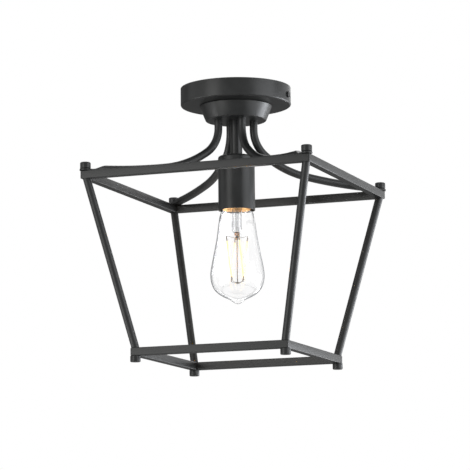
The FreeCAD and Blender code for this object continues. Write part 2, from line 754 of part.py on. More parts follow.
def bulb_stem_glass():
    """Glass stem: flared at the neck, pinched to a narrow seal below, with a thin tube inside."""
    inner_radius = bulb_stem_radius - bulb_wall
    flare_top_z = glass_neck[0][1] - 0.6
    flare_radius = glass_neck[0][0] - bulb_wall - 0.2
    outline = [(inner_radius, stem_flare_z + 1.0), (flare_radius - bulb_wall, flare_top_z),
               (flare_radius, flare_top_z), (bulb_stem_radius, stem_flare_z),
               (bulb_stem_radius, bulb_stem_end_z + 2.0), (bulb_stem_radius - 1.2, bulb_stem_end_z + 0.5),
               (bulb_pinch_radius, bulb_stem_end_z), (bulb_pinch_radius, bulb_pinch_z), (0, bulb_pinch_z),
               (0, bulb_stem_end_z + 1.6), (inner_radius, bulb_stem_end_z + 3.4)]
    thin_tube = ring(thin_tube_radius, thin_tube_bore, bulb_stem_end_z + 1.2, flare_top_z - 5.0)
    return turned(outline).fuse(thin_tube)


def turned_about_axis(angle, distance, z):
    """Point at a bearing, a distance from the axis and a height."""
    return (distance * math.cos(math.radians(angle)), distance * math.sin(math.radians(angle)), z)


def filament_ends():
    """Upper and lower end of each of the four leaning filament sticks."""
    ends = []
    for i in range(filament_count):
        bearing = filament_top_bearing + 360 / filament_count * i
        top = turned_about_axis(bearing, filament_top_reach, filament_top_z)
        bottom = turned_about_axis(bearing + filament_twist, filament_bottom_reach, filament_bottom_z)
        ends.append((Vector(*top), Vector(*bottom)))
    return ends


def bulb_filaments():
    """Four glowing sticks."""
    return group([along(top, bottom, filament_radius) for top, bottom in filament_ends()])


def filament_clips():
    """Small metal ends of the sticks."""
    clips = []
    for top, bottom in filament_ends():
        run = (top - bottom).normalize()
        clips.append(along(top, top + run * top_clip_length, clip_radius))
        clips.append(along(bottom, bottom - run * bottom_clip_length, clip_radius))
    return group(clips)


def bulb_support_rod():
    """Centre wire from the pinched seal to a small ring, with a bead under the seal."""
    core = rod(core_radius, bulb_rod_bottom_z, bulb_pinch_z)
    bead = Part.makeSphere(bead_radius, Vector(0, 0, bead_z))
    hub_top_z = bulb_rod_bottom_z + hub_half_height
    hub = rod(hub_radius, bulb_rod_bottom_z - hub_half_height, hub_top_z)
    hub = hub.makeFillet(0.5, horizontal_circles(hub, hub_top_z))
    return core.fuse([bead, hub]).removeSplitter()


def filament_wires():
    """Thin wires from the bead out to the upper clips and from the ring out to the lower ones."""
    wires = []
    for top, bottom in filament_ends():
        run = (top - bottom).normalize()
        upper_end = top + run * top_clip_length
        lower_end = bottom - run * bottom_clip_length
        upper_start = Vector(upper_end.x * 0.17, upper_end.y * 0.17, bead_z)
        lower_start = Vector(lower_end.x * 0.28, lower_end.y * 0.28, bulb_rod_bottom_z)
        wires.append(along(upper_start, upper_end, fine_wire_radius))
        wires.append(along(lower_start, lower_end, fine_wire_radius))
    return group(wires)


# ---- every node --------------------------------------------------------------------------------

nodes = {
    "mounting_crossbar": mounting_crossbar(),
    "ground_screws": ground_screws(),
    "side_screws": side_screws(),
    "canopy": canopy(),
    "threaded_pipe": threaded_pipe(),
    "canopy_lock_washer": canopy_lock_washer(),
    "canopy_nut": canopy_nut(),
    "collar_bush": collar_bush(),
    "collar_cup": collar_cup(),
    "arm_nuts": arm_nuts(),
    "stem_sleeve": stem_sleeve(),
    "corner_studs": at_corners(top_corner, corner_stud),
    "cap_washers": at_corners(top_corner, cap_washer),
    "cap_nuts": at_corners(top_corner, cap_nut),
    "foot_studs": at_corners(bottom_corner, foot_stud),
    "foot_nuts": at_corners(bottom_corner, foot_nut),
    "socket_cup": socket_cup(),
    "cup_nut": cup_nut(),
    "socket_bracket": socket_bracket(),
    "socket_screws": socket_screws(),
    "socket_body": socket_body(),
    "terminal_screws": terminal_screws(),
    "screw_shell": screw_shell(),
    "contact_foot": contact_foot(),
    "contact_leaf": contact_leaf(),
    "lead_wire_black": lead_wire(-1, "lead_wire_black"),
    "lead_wire_white": lead_wire(1, "lead_wire_white"),
    "wire_connectors": wire_connectors(),
    "ground_wire": ground_wire(),
    "bulb_glass": bulb_glass(),
    "bulb_screw_base": bulb_screw_base(),
    "bulb_insulator": bulb_insulator(),
    "bulb_tip_contact": bulb_tip_contact(),
    "bulb_stem_glass": bulb_stem_glass(),
    "bulb_support_rod": bulb_support_rod(),
    "bulb_filaments": bulb_filaments(),
    "filament_clips": filament_clips(),
    "filament_wires": filament_wires(),
}

one_arm = arm()
for index, (corner, corner_x, corner_y) in enumerate(corner_signs):
    turned_arm = one_arm.copy()
    turned_arm.rotate(Vector(0, 0, 0), Vector(0, 0, 1), 90 * index)
    nodes["arm_" + corner] = turned_arm
    nodes["leg_" + corner] = leg(corner_x, corner_y)

for frame_name, frame_half, frame_z in (("top", top_frame_half, top_frame_z),
                                        ("bottom", bottom_frame_half, bottom_frame_z)):
    one_rail = rail(frame_half, frame_z)
    for side_name, side_turn in side_turns:
        turned_rail = one_rail.copy()
        turned_rail.rotate(Vector(0, 0, 0), Vector(0, 0, 1), side_turn)
        nodes[frame_name + "_rail_" + side_name] = turned_rail

for node_name, shape in nodes.items():
    assert shape.isValid(), node_name
    shape.exportStep("parts/" + node_name + ".step")
    print(node_name, "solids", len(shape.Solids), "volume", round(shape.Volume, 1))
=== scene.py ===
# %% [markdown]
# # A porch ceiling lantern
# The real lantern is a small open cage of black powder-coated steel that hangs close
# under a porch ceiling. A round canopy hides the wiring, a tapered collar sits under
# it, four bent arms reach out to a square frame, four leaning rods go down to a
# smaller square frame, and one clear bulb hangs in a plain black cup.
#
# The exact sizes come from a CAD model that is already packed. This script dresses
# it: it adds smooth surfaces, finishes, a bulb of real glass, lights and a camera.
# Everything is in metres, with the centre of the canopy's rim at the origin, +Z up
# into the ceiling and the front of the lantern towards -Y.

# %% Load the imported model
import json
import math
import bmesh
import bpy
import numpy as np
from mathutils import Matrix, Vector


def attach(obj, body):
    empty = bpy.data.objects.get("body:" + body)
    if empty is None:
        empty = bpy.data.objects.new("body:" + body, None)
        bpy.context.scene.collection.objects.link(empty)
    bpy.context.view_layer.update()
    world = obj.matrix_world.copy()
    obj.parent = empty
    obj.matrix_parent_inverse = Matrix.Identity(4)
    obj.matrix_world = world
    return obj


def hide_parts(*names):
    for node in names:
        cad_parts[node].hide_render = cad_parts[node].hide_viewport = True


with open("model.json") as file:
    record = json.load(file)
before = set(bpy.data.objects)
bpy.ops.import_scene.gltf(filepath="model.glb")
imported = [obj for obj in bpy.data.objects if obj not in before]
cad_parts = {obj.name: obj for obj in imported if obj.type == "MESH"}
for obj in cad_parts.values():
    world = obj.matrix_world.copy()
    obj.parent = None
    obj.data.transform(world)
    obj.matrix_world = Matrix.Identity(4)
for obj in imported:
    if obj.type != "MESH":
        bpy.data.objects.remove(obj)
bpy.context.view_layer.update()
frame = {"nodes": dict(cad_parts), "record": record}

# %% [markdown]
# ## The camera
# A product photograph like this one is taken from well away with a long lens, so
# that square frames look nearly square. The place, aim and roll below make the eight
# corners of the cage fall where the photograph shows them. The camera stands lower
# than the lantern and looks up at it, as a visitor on the porch does.

# %% Camera
camera_place = Vector((0.98415, -2.60487, -0.58935))
camera_aim = Vector((-0.00208, -0.00079, -0.16131))
camera_roll = math.radians(-0.5416)
lens_mm = 199.87
sensor_mm = 36.0
far_limit = 50.0

forward = (camera_aim - camera_place).normalized()
level_right = forward.cross(Vector((0, 0, 1))).normalized()
level_up = level_right.cross(forward)
right = level_right * math.cos(camera_roll) + level_up * math.sin(camera_roll)
up = level_up * math.cos(camera_roll) - level_right * math.sin(camera_roll)

camera_data = bpy.data.cameras.new("photo_camera")
camera_data.lens = lens_mm
camera_data.sensor_width = sensor_mm
camera_data.clip_end = far_limit
camera = bpy.data.objects.new("photo_camera", camera_data)
camera.matrix_world = Matrix((right, up, -forward)).transposed().to_4x4()
camera.location = camera_place
bpy.context.scene.collection.objects.link(camera)
bpy.context.scene.camera = camera
print("camera stands", round((camera_aim - camera_place).length, 3), "m away")

# %% [markdown]
# ## Surfaces from arrays
# Nearly every part of a lantern is turned on a lathe, drawn through a die or bent
# from bar. Each of those is a grid of points: rows run along the part and columns
# run round it. numpy works out all the points of a grid at once, and one function
# joins neighbours into four-sided faces. Where a grid closes on itself or shrinks to
# a point, its doubled points are merged, so that every piece is a closed skin.

# %% From grids to a piece
MM = 0.001
merge_distance = 1e-6
crease_degrees = 38.0           # an edge that bends more than this stays sharp


def grid_faces(rows, columns, first):
    """Faces of a grid closed round its columns: (i, j) joins (i, j+1), (i+1, j+1) and (i+1, j)."""
    row = np.arange(rows - 1)[:, None]
    column = np.arange(columns)[None, :]
    after = (column + 1) % columns
    corners = [row * columns + column, row * columns + after,
               (row + 1) * columns + after, (row + 1) * columns + column]
    return first + np.stack(np.broadcast_arrays(*corners), axis=-1).reshape(-1, 4)


def make_piece(name, grids, material, body, nodes, sharp=crease_degrees):
    """One closed mesh from grids of points (rows x columns x 3, in metres), riding on its body."""
    starts = np.cumsum([0] + [g.shape[0] * g.shape[1] for g in grids])
    points = np.concatenate([g.reshape(-1, 3) for g in grids])
    faces = np.concatenate([grid_faces(g.shape[0], g.shape[1], s) for g, s in zip(grids, starts)])
    mesh = bpy.data.meshes.new(name)
    mesh.from_pydata(points.tolist(), [], faces.tolist())
    shell = bmesh.new()
    shell.from_mesh(mesh)
    bmesh.ops.remove_doubles(shell, verts=shell.verts, dist=merge_distance)
    bmesh.ops.recalc_face_normals(shell, faces=shell.faces)
    shell.to_mesh(mesh)
    shell.free()
    mesh.polygons.foreach_set("use_smooth", np.ones(len(mesh.polygons), dtype=bool))
    mesh.set_sharp_from_angle(angle=math.radians(sharp))
    mesh.materials.append(material)
    piece = bpy.data.objects.new(name, mesh)
    bpy.context.scene.collection.objects.link(piece)
    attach(piece, body)
    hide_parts(*nodes)
    print(name, "faces", len(mesh.polygons))
    return piece


# %% Turned shapes
def turned(profile, columns=96, centre=(0.0, 0.0)):
    """Surface of revolution: a profile point (r, z) goes to (r cos a, r sin a, z) for every angle a."""
    radius, height = np.asarray(profile, float).T[:, :, None] * MM
    angle = np.linspace(0, 2 * np.pi, columns, endpoint=False)[None, :]
    x = centre[0] * MM + radius * np.cos(angle)
    y = centre[1] * MM + radius * np.sin(angle)
    return np.stack([x, y, height + 0 * angle], axis=-1)


def rounded(corners, radii, steps=6):
    """Line of straight runs with arcs at its corners.

    An arc of radius q starts and ends q / tan(half the inner angle) from its corner, and its
    middle lies q / sin(half the inner angle) from it. Its points turn evenly from end to end.
    """
    corners = np.asarray(corners, float)
    line = [corners[:1]]
    for before, corner, after, radius in zip(corners, corners[1:], corners[2:], radii):
        if radius == 0:
            line.append(corner[None, :])
            continue
        back = (before - corner) / np.linalg.norm(before - corner)
        onward = (after - corner) / np.linalg.norm(after - corner)
        inner = np.arccos(np.clip(back @ onward, -1, 1))
        bisector = (back + onward) / np.linalg.norm(back + onward)
        middle = corner + bisector * radius / np.sin(inner / 2)
        start = corner + back * radius / np.tan(inner / 2) - middle
        end = corner + onward * radius / np.tan(inner / 2) - middle
        turn = np.pi - inner
        share = np.linspace(0, 1, steps + 1)[:, None]
        arc = (np.sin((1 - share) * turn) * start + np.sin(share * turn) * end) / np.sin(turn)
        line.append(middle + arc)
    line.append(corners[-1:])
    return np.concatenate(line)


print("a rounded square corner has", len(rounded([(1, 0), (1, 1), (0, 1)], [0.5])), "points")

# %% [markdown]
# ## Finishes
# Each finish starts from what the real one is. Colours are written as the sRGB hex
# values that a picture editor shows, and one function turns them into the linear
# values that Blender works with. One more function adds a node with its settings,
# values and links, so that a material reads like a short recipe.

# %% Colour and node helpers
noise_low, noise_high = 0.3, 0.7        # nearly every value of a noise lies between these


def linear(hex_code):
    """Linear RGBA of an sRGB hex colour.

    Values up to 0.04045 are divided by 12.92, and the others follow the 2.4 curve.
    """
    value = np.array([int(hex_code[i:i + 2], 16) for i in (1, 3, 5)]) / 255
    curve = np.where(value <= 0.04045, value / 12.92, ((value + 0.055) / 1.055) ** 2.4)
    return (*[float(v) for v in curve], 1.0)


def add(tree, kind, values=None, links=None, **settings):
    """Adds one node: settings are its properties, values its sockets, links the sockets that feed it."""
    node = tree.nodes.new(kind)
    for name, value in settings.items():
        setattr(node, name, value)
    for socket, value in (values or {}).items():
        node.inputs[socket].default_value = value
    for socket, source in (links or {}).items():
        tree.links.new(source, node.inputs[socket])
    return node


def new_material(name):
    """An empty node material and its tree."""
    material = bpy.data.materials.new(name)
    material.use_nodes = True
    material.node_tree.nodes.clear()
    return material, material.node_tree


def finish(tree, shader):
    """Connects the last shader to the surface."""
    add(tree, "ShaderNodeOutputMaterial", links={"Surface": shader})


print("linear value of #808080 is", round(linear("#808080")[0], 3))

# %% [markdown]
# ### Satin black powder coat
# Powder coat is a polyester paint that is blown on dry and baked. It is never quite
# flat: it dries with a fine orange peel about 1.5 mm from crest to crest, which
# spreads every highlight into a soft band. The real peel is only some micrometres
# high. It is drawn a little coarser here, because at this picture's scale one pixel
# is about a millimetre. The colour is a charcoal black that drifts very slightly.

# %% Powder coat
def powder_coat(name, dark, light, patch_mm=18, peel_mm=2.2, peel_height_mm=0.035):
    """Satin polyester paint: two near blacks in slow patches, a fine peel, a roughness that wanders."""
    material, tree = new_material(name)
    place = add(tree, "ShaderNodeTexCoord").outputs["Object"]
    patches = add(tree, "ShaderNodeTexNoise", {"Scale": 1 / (patch_mm * MM), "Detail": 3.0},
                  {"Vector": place})
    colour = add(tree, "ShaderNodeValToRGB", links={"Fac": patches.outputs["Fac"]})
    colour.color_ramp.elements[0].color = linear(dark)
    colour.color_ramp.elements[0].position = 0.35
    colour.color_ramp.elements[1].color = linear(light)
    colour.color_ramp.elements[1].position = 0.65
    rough = add(tree, "ShaderNodeMapRange",
                {"From Min": noise_low, "From Max": noise_high, "To Min": 0.33, "To Max": 0.39},
                {"Value": patches.outputs["Fac"]})
    peel = add(tree, "ShaderNodeTexNoise", {"Scale": 1 / (peel_mm * MM), "Detail": 1.5},
               {"Vector": place})
    bump = add(tree, "ShaderNodeBump", {"Strength": 0.35, "Distance": peel_height_mm * MM},
               {"Height": peel.outputs["Fac"]})
    paint = add(tree, "ShaderNodeBsdfPrincipled", {"IOR": 1.5, "Specular IOR Level": 0.27},
                {"Base Color": colour.outputs["Color"], "Roughness": rough.outputs["Result"],
                 "Normal": bump.outputs["Normal"]})
    finish(tree, paint.outputs["BSDF"])
    return material


black_coat = powder_coat("satin_black_powder_coat", "#161717", "#1d1e1e")
print("made", black_coat.name)


def painted(name, grids, nodes):
    """A piece of the lantern's body in black powder coat."""
    make_piece(name, grids, black_coat, "lantern", nodes)


# %% [markdown]
# ### Metals
# The hidden hardware is zinc-plated steel, and the current-carrying parts are brass.
# Both are drawn or turned, so their gloss is streaked and uneven. The earth wire is
# bare copper, its screws are dyed green, and the bulb's fine wires are dull nickel. The
# gold lustre inside the bulb's neck is a thin film on glass, so it is quite matt. A metal
# takes its colour from its reflection, so it is set by the base colour, with metallic 1.

# %% Plated and drawn metals
def metal(name, dark, light, rough_low, rough_high, grain_mm, stretch=(1.0, 1.0, 1.0), height_mm=0.02):
    """Bare metal with a worked surface: noise of the given grain, stretched along the tool's path."""
    material, tree = new_material(name)
    place = add(tree, "ShaderNodeTexCoord").outputs["Object"]
    along = add(tree, "ShaderNodeMapping", {"Scale": stretch}, {"Vector": place})
    grain = add(tree, "ShaderNodeTexNoise", {"Scale": 1 / (grain_mm * MM), "Detail": 4.0},
                {"Vector": along.outputs["Vector"]})
    colour = add(tree, "ShaderNodeValToRGB", links={"Fac": grain.outputs["Fac"]})
    colour.color_ramp.elements[0].color = linear(dark)
    colour.color_ramp.elements[1].color = linear(light)
    rough = add(tree, "ShaderNodeMapRange",
                {"From Min": noise_low, "From Max": noise_high, "To Min": rough_low, "To Max": rough_high},
                {"Value": grain.outputs["Fac"]})
    bump = add(tree, "ShaderNodeBump", {"Strength": 0.2, "Distance": height_mm * MM},
               {"Height": grain.outputs["Fac"]})
    surface = add(tree, "ShaderNodeBsdfPrincipled", {"Metallic": 1.0},
                  {"Base Color": colour.outputs["Color"], "Roughness": rough.outputs["Result"],
                   "Normal": bump.outputs["Normal"]})
    finish(tree, surface.outputs["BSDF"])
    return material


zinc = metal("zinc_plated_steel", "#a9adb2", "#c9ccd0", 0.28, 0.45, 1.6)
brass = metal("drawn_brass", "#c79a4e", "#dcb570", 0.22, 0.36, 1.2, (1.0, 1.0, 0.2))
gold_lustre = metal("gold_lustre_on_glass", "#c4935c", "#d8b283", 0.50, 0.62, 6.0)
copper = metal("bare_copper_wire", "#b8694a", "#cf8560", 0.30, 0.42, 1.0)
nickel = metal("nickel_lead_wire", "#6c655e", "#8a837b", 0.30, 0.45, 0.8)
solder = metal("tin_solder", "#b4b5b6", "#cdcecf", 0.30, 0.45, 0.7)
green_screw = metal("green_dyed_zinc", "#1f6b33", "#2c8244", 0.32, 0.48, 1.2)
print("metals", [m.name for m in (zinc, brass, gold_lustre, copper, nickel, solder, green_screw)])

# %% [markdown]
# ### Ceramic, plastics and enamel
# The lamp holder is glazed porcelain. The wires wear smooth PVC, the twist-on
# connectors are moulded polypropylene, and the cone at the bulb's tip is black glass.
# The pinched seal is clear glass, and looks brown from the coppery wires inside it. All
# are dielectrics, so they share one recipe: a colour that drifts a little, a gloss
# that suits the material and a faint unevenness from the mould or the glaze.

# %% Dielectric finishes
def dielectric(name, dark, light, rough_low, rough_high, grain_mm, ior, height_mm=0.02):
    """Moulded or glazed material: slow colour drift, wandering gloss, shallow ripple."""
    material, tree = new_material(name)
    place = add(tree, "ShaderNodeTexCoord").outputs["Object"]
    drift = add(tree, "ShaderNodeTexNoise", {"Scale": 1 / (grain_mm * MM), "Detail": 2.0},
                {"Vector": place})
    colour = add(tree, "ShaderNodeValToRGB", links={"Fac": drift.outputs["Fac"]})
    colour.color_ramp.elements[0].color = linear(dark)
    colour.color_ramp.elements[1].color = linear(light)
    rough = add(tree, "ShaderNodeMapRange",
                {"From Min": noise_low, "From Max": noise_high, "To Min": rough_low, "To Max": rough_high},
                {"Value": drift.outputs["Fac"]})
    bump = add(tree, "ShaderNodeBump", {"Strength": 0.2, "Distance": height_mm * MM},
               {"Height": drift.outputs["Fac"]})
    surface = add(tree, "ShaderNodeBsdfPrincipled", {"IOR": ior},
                  {"Base Color": colour.outputs["Color"], "Roughness": rough.outputs["Result"],
                   "Normal": bump.outputs["Normal"]})
    finish(tree, surface.outputs["BSDF"])
    return material


porcelain = dielectric("glazed_porcelain", "#e2ddd2", "#efebe2", 0.12, 0.22, 3.0, 1.5)
black_pvc = dielectric("black_pvc_insulation", "#161616", "#202020", 0.35, 0.5, 2.0, 1.53)
white_pvc = dielectric("white_pvc_insulation", "#dcdcd6", "#ebebe6", 0.35, 0.5, 2.0, 1.53)
orange_plastic = dielectric("moulded_orange_polypropylene", "#d4601a", "#e2702a", 0.35, 0.5, 2.5, 1.49)
black_glass = dielectric("black_vitrite_glass", "#0c0c10", "#15151a", 0.08, 0.16, 2.0, 1.52)
seal_glass = dielectric("seal_glass_over_copper_wires", "#6a5a50", "#857468", 0.10, 0.20, 1.5, 1.56)
print("dielectrics", [m.name for m in (porcelain, black_pvc, white_pvc, orange_plastic)])
print("dark glasses", black_glass.name, seal_glass.name)

# %% [markdown]
# ### Blown glass and glowing sticks
# The bulb is soda-lime glass, blown about 0.8 mm thick and quite clear, with an index
# of 1.52. It shows by the thin grey line where its wall is seen edge on. That line is
# painted shade: the glass's colour goes from white to grey near the rim. It also has the
# faint waves that blowing leaves, some 25 mm apart. Inside are four sticks coated in
# yellow phosphor. They are lit, so they give off a light of their own. The powder itself
# is too fine to show, so the coating's unevenness is drawn as patches about 1 mm wide.

# %% Glass and phosphor
# painted shade: between these two Facing values the glass's colour turns from white to grey
painted_rim_shade_start, painted_rim_shade_full = 0.60, 0.88        # Facing is 0 face on and 1 edge on


def blown_glass(name, wave_mm, wave_height_mm, grey, density, painted_rim_shade_colour):
    """Clear glass with the shallow waves of blowing and painted shade: grey where it is seen edge on.

    Along its path it takes away density x (1 - grey) of the light per metre.
    """
    material, tree = new_material(name)
    place = add(tree, "ShaderNodeTexCoord").outputs["Object"]
    waves = add(tree, "ShaderNodeTexNoise", {"Scale": 1 / (wave_mm * MM), "Detail": 1.0},
                {"Vector": place})
    bump = add(tree, "ShaderNodeBump", {"Strength": 0.3, "Distance": wave_height_mm * MM},
               {"Height": waves.outputs["Fac"]})
    facing = add(tree, "ShaderNodeLayerWeight", {"Blend": 0.5})
    # painted shade: the glass's base colour turns grey as its wall is seen edge on
    painted_rim_shade = add(tree, "ShaderNodeValToRGB", links={"Fac": facing.outputs["Facing"]})
    painted_rim_shade.color_ramp.elements[0].position = painted_rim_shade_start
    painted_rim_shade.color_ramp.elements[0].color = (1.0, 1.0, 1.0, 1.0)
    painted_rim_shade.color_ramp.elements[1].position = painted_rim_shade_full
    painted_rim_shade.color_ramp.elements[1].color = linear(painted_rim_shade_colour)
    glass = add(tree, "ShaderNodeBsdfPrincipled",
                {"Roughness": 0.0, "IOR": 1.52, "Transmission Weight": 1.0},
                {"Base Color": painted_rim_shade.outputs["Color"], "Normal": bump.outputs["Normal"]})
    body = add(tree, "ShaderNodeVolumeAbsorption", {"Color": (*grey, 1.0), "Density": density})
    add(tree, "ShaderNodeOutputMaterial",
        links={"Surface": glass.outputs["BSDF"], "Volume": body.outputs["Volume"]})
    return material


def lit_phosphor(name, dark, light, strength, patch_mm=1.0):
    """Yellow phosphor that glows, in an uneven coat whose patches shift its colour a little."""
    material, tree = new_material(name)
    place = add(tree, "ShaderNodeTexCoord").outputs["Object"]
    patches = add(tree, "ShaderNodeTexNoise", {"Scale": 1 / (patch_mm * MM), "Detail": 2.0},
                  {"Vector": place})
    colour = add(tree, "ShaderNodeValToRGB", links={"Fac": patches.outputs["Fac"]})
    colour.color_ramp.elements[0].color = linear(dark)
    colour.color_ramp.elements[1].color = linear(light)
    stick = add(tree, "ShaderNodeBsdfPrincipled", {"Roughness": 0.6, "Emission Strength": strength},
                {"Base Color": colour.outputs["Color"], "Emission Color": colour.outputs["Color"]})
    finish(tree, stick.outputs["BSDF"])
    return material


# the last colour of each glass is the grey of its painted rim shade
clear_glass = blown_glass("clear_blown_glass", 25.0, 0.003, (0.50, 0.50, 0.52), 40.0, "#8c9094")
stem_glass = blown_glass("drawn_stem_glass", 12.0, 0.001, (0.50, 0.51, 0.53), 320.0, "#7c8084")
phosphor = lit_phosphor("lit_yellow_phosphor", "#f1c67a", "#fbe0a2", 0.5)
print("glass and light", clear_glass.name, stem_glass.name, phosphor.name)

# %% [markdown]
# ## Canopy, collar and cup
# These are pressed and turned from sheet, so each is a profile spun round the axis.
# The profile goes out along the outside and back along the inside, which gives the
# sheet its true thickness. Small arcs at the corners catch the thin bright lines that
# the photograph shows along the canopy's lower edge.

# %% Canopy
pipe_hole_mm = 5.0
canopy_mm, canopy_low_z = 60.0, -19.7
inner_mm, inner_z = 58.8, -18.5
canopy_profile = rounded([(30.0, inner_z), (inner_mm, inner_z), (inner_mm, 0.0), (canopy_mm, 0.0),
                          (canopy_mm, canopy_low_z), (pipe_hole_mm, canopy_low_z),
                          (pipe_hole_mm, inner_z), (30.0, inner_z)], [1.2, 0.3, 0.3, 1.8, 0.2, 0.2], 8)
painted("canopy_pan", [turned(canopy_profile, 160)], ["canopy"])

# %% Collar
collar_low_z, collar_floor_z, lip_under_z = -36.1, -34.1, -21.1
collar_profile = rounded([(20.0, collar_floor_z), (pipe_hole_mm, collar_floor_z),
                          (pipe_hole_mm, collar_low_z), (32.8, collar_low_z), (39.6, canopy_low_z),
                          (35.6, canopy_low_z), (35.6, lip_under_z), (37.6, lip_under_z),
                          (32.2, collar_floor_z), (20.0, collar_floor_z)],
                         [0.2, 0.2, 1.3, 0.7, 0.3, 0.3, 0.4, 0.4], 8)
painted("tapered_collar", [turned(collar_profile, 128)], ["collar_cup"])

# %% [markdown]
# A straight tube on the axis carries the cup, which hides the lamp holder. The cup is
# painted black outside and inside. Its shoulder is pressed with a wide radius.

# %% Stem sleeve and socket cup
sleeve_mm = 6.65
cup_mm, cup_inner_mm = 19.9, 18.7
cup_top_z, cup_ceiling_z, cup_lip_z = -75.0, -76.2, -134.6
sleeve_profile = [(sleeve_mm, -55.0), (sleeve_mm, collar_low_z), (pipe_hole_mm, collar_low_z),
                  (pipe_hole_mm, cup_top_z), (sleeve_mm, cup_top_z), (sleeve_mm, -55.0)]
painted("stem_tube", [turned(sleeve_profile, 64)], ["stem_sleeve"])

cup_profile = rounded([(12.0, cup_ceiling_z), (pipe_hole_mm, cup_ceiling_z), (pipe_hole_mm, cup_top_z),
                       (cup_mm, cup_top_z), (cup_mm, cup_lip_z), (cup_inner_mm, cup_lip_z),
                       (cup_inner_mm, cup_ceiling_z), (12.0, cup_ceiling_z)],
                      [0.2, 0.3, 2.6, 0.4, 0.4, 1.4], 8)
painted("socket_cup_shell", [turned(cup_profile, 128)], ["socket_cup"])

# %% [markdown]
# ## The two square frames
# Each frame is four square bars, cut at 45 degrees, welded and ground smooth before
# painting. A bar's section is a square with softly rounded edges. The section is
# carried from one mitre to the other, and near each end the outer part of the section
# turns round the corner's small radius while the inner part stops at the mitre.

# %% Square bars
bar_mm = 8.6
bar_edge_mm = 0.8
corner_mm = 1.4
bottom_frame_z = -288.0
frames = (("top", 128.0, -102.4), ("bottom", 88.3, bottom_frame_z))     # half width, upper face


def rail_grid(half, top_z, quarter_turns):
    """One mitred bar.

    A section point lies w inwards from the outer face and h below the top. Along the bar its x
    runs between the mitres. In the corner zone a point nearer the outside than the corner radius
    goes round an arc of radius (corner radius - w); the others meet at the mitre, at half - w.
    """
    b = bar_mm
    section = rounded([(b / 2, 0), (b, 0), (b, b), (0, b), (0, 0), (b / 2, 0)], [bar_edge_mm] * 4, 5)[:-1]
    w, h = section.T[:, None, :]
    inner = np.maximum(corner_mm - w, 0.0)
    stop = np.maximum(corner_mm, w)
    turn = np.radians(np.concatenate([np.linspace(45, 0, 6), np.linspace(0, 45, 6)]))[:, None]
    side = np.repeat([-1.0, 1.0], 6)[:, None]
    x = side * (half - stop + inner * np.sin(turn))
    y = -(half - stop) - inner * np.cos(turn)
    grid = np.stack([x, y, top_z - h + 0 * x], axis=-1)
    ends = grid[[0, -1]].mean(axis=1, keepdims=True) + 0 * grid[[0, -1]]
    grid = np.concatenate([ends[:1], grid, ends[1:]]) * MM
    c, s = np.cos(quarter_turns * np.pi / 2), np.sin(quarter_turns * np.pi / 2)
    return grid @ np.array([[c, s, 0], [-s, c, 0], [0, 0, 1]])


for level, half_mm, top_mm in frames:
    for quarter, side_name in enumerate(("front", "right", "back", "left")):
        node = level + "_rail_" + side_name
        painted(node + "_bar", [rail_grid(half_mm, top_mm, quarter)], [node])

# %% [markdown]
# ## Leaning rods
# Four round rods join the frames. Each leans inwards and is cut level at both ends,
# where it is welded. Carrying a circle straight along the rod and sliding each line of
# the rod to the level plane gives that slanted cut exactly.

# %% Rods
def leaning_rod(foot, head, radius_mm, columns=48):
    """Rod cut level at both ends: each line of it runs along the rod until it meets the end's height."""
    foot, head = np.asarray(foot, float), np.asarray(head, float)
    run = (head - foot) / np.linalg.norm(head - foot)
    across = np.cross(run, [0, 0, 1])
    across = across / np.linalg.norm(across)
    over = np.cross(run, across)
    angle = np.linspace(0, 2 * np.pi, columns, endpoint=False)[:, None]
    circle = radius_mm * (np.cos(angle) * across + np.sin(angle) * over)
    rings = [end + circle - circle[:, 2:] / run[2] * run for end in (foot, head)]
    caps = [np.repeat(end[None, :], columns, axis=0) for end in (foot, head)]
    return np.stack([caps[0], rings[0], rings[1], caps[1]]) * MM


corner_signs = {"front_left": (-1, -1), "front_right": (1, -1), "back_right": (1, 1), "back_left": (-1, 1)}
foot_mm, head_mm, head_z, rod_mm = 84.0, 122.5, -111.0, 4.2
for corner, (sx, sy) in corner_signs.items():
    rod_grid = leaning_rod((sx * foot_mm, sy * foot_mm, bottom_frame_z),
                           (sx * head_mm, sy * head_mm, head_z), rod_mm)
    painted("leaning_rod_" + corner, [rod_grid], ["leg_" + corner])

# %% [markdown]
# ## Bent arms
# An arm is a round bar. It leaves the collar straight down, bends outwards in a tight
# curve, then in wider and wider ones, and its end is beaten flat into a tab that lies
# on the frame's corner under a nut. So its section changes from a circle to a flat
# plate with rounded edges. A superellipse does both: with power 2 it is an ellipse,
# and with power 6 it is nearly a rectangle.

# %% The arm's centre line
arm_start_mm, first_bend_z = 20.0, -45.0
arm_bends = ((34.0, 0.0, 54.0), (111.0, 54.0, 81.0), (610.0, 81.0, 87.5))   # radius, degrees from, to


def arm_line():
    """Centre line in the arm's upright plane: distance from the axis, height, heading from straight down.

    On a bend of radius R the distance grows by R (cos h0 - cos h) and the height falls by
    R (sin h - sin h0) while the heading goes from h0 to h.
    """
    out = [np.full(3, arm_start_mm)]
    height = [np.linspace(collar_low_z, first_bend_z, 3)]
    heading = [np.zeros(3)]
    for radius, start, end in arm_bends:
        h = np.radians(np.linspace(start, end, 19)[1:])
        h0 = np.radians(start)
        out.append(out[-1][-1] + radius * (np.cos(h0) - np.cos(h)))
        height.append(height[-1][-1] - radius * (np.sin(h) - np.sin(h0)))
        heading.append(h)
    return np.concatenate(out), np.concatenate(height), np.concatenate(heading)


arm_out, arm_height, arm_heading = arm_line()
print("the round bar ends", round(arm_out[-1], 1), "mm from the axis at", round(arm_height[-1], 1))

# %% Arms
arm_mm = 4.3
neck_end_mm, tab_start_mm, tab_end_mm = 169.0, 171.5, 181.2
tab_half_mm, tab_middle_z, tab_half_thick = 5.8, -101.4, 1.0
top_stud_mm = 123.7
stud_mm = top_stud_mm * math.sqrt(2)
arm_turn = 0.8                  # degrees


